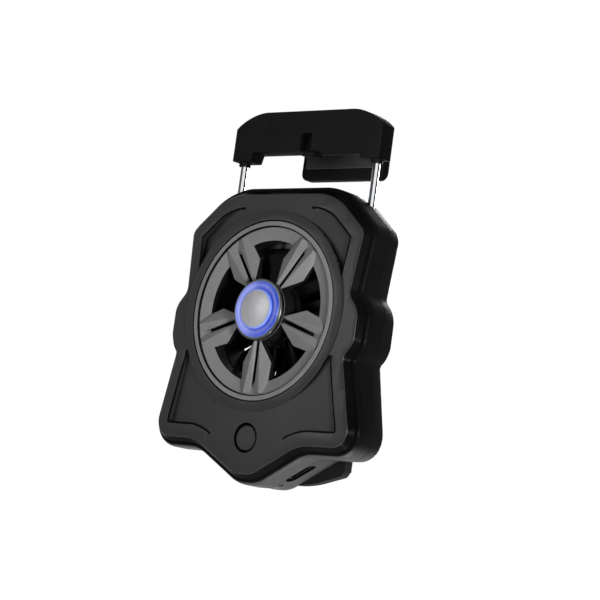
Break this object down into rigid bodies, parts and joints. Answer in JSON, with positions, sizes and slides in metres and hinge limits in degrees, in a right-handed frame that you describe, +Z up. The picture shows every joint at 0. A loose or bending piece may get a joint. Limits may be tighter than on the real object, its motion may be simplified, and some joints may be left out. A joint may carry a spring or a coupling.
{
  "type": "phone cooling fan",
  "caption": "Clip-on phone cooling fan: spoked grille and lit hub over an axial fan in a waisted housing, with a sprung sliding jaw on rods and a fixed hook below.",
  "frame": {"origin": "on the fan axis, in the plane where the rear pads meet the back of the phone", "axes": "+X to the right of someone facing the grille, +Y rearward into the phone, +Z up along the sliding rods; the grille faces -Y"},
  "size_m": [0.0674, 0.0284, 0.0961],
  "materials": {
    "face_plastic": "satin charcoal with a fine sheen",
    "shell_plastic": "fine matt black",
    "grille_plastic": "satin mid grey",
    "fan_plastic": "gloss black",
    "light_plastic": "translucent blue, lit",
    "cap_plastic": "frosted white",
    "bright_metal": "polished",
    "chrome": "polished",
    "steel": "plain",
    "dark_steel": "blackened",
    "port_metal": "plated",
    "brass": "turned",
    "copper": "enamelled winding",
    "magnet": "sintered",
    "foil": "foil pouch",
    "circuit_board": "solder mask",
    "pad_rubber": "soft matt"
  },
  "bodies": {
    "housing": {"front_cover": "face_plastic", "front_grille": "grille_plastic", "hub_bezel": "bright_metal", "light_ring": "light_plastic", "hub_cap": "cap_plastic", "light_board": "circuit_board", "rear_cover": "shell_plastic", "rear_pads": "pad_rubber", "bearing_sleeve": "brass", "stator_core": "steel", "stator_coils": "copper", "control_board": "circuit_board", "button_switch": "steel", "charge_port": "port_metal", "charge_light": "cap_plastic", "battery_cell": "foil", "case_screws": "dark_steel", "rod_bushes": "brass", "left_spring": "steel", "right_spring": "steel", "lower_hook": "shell_plastic", "lower_hook_pad": "pad_rubber"},
    "fan_rotor": {"fan_impeller": "fan_plastic", "rotor_yoke": "steel", "rotor_magnet": "magnet", "fan_shaft": "steel"},
    "clamp_jaw": {"upper_jaw": "shell_plastic", "upper_jaw_pad": "pad_rubber", "clamp_rods": "chrome", "rod_collars": "dark_steel", "jaw_screws": "dark_steel"},
    "button": {"power_button": "face_plastic"}
  },
  "joints": [
    {"name": "jaw_slide", "type": "slide", "parent": "housing", "child": "clamp_jaw", "axis": [0, 0, 1], "range_m": [-0.0085, 0.012], "stiffness_N_per_m": 300, "springref_m": -0.02, "deforming": ["left_spring", "right_spring"]},
    {"name": "fan_spin", "type": "hinge", "parent": "housing", "child": "fan_rotor", "pos_m": [0, -0.006, 0], "axis": [0, -1, 0], "continuous": true},
    {"name": "button_press", "type": "slide", "parent": "housing", "child": "button", "axis": [0, 1, 0], "range_m": [0, 0.0006], "stiffness_N_per_m": 800}
  ]
}
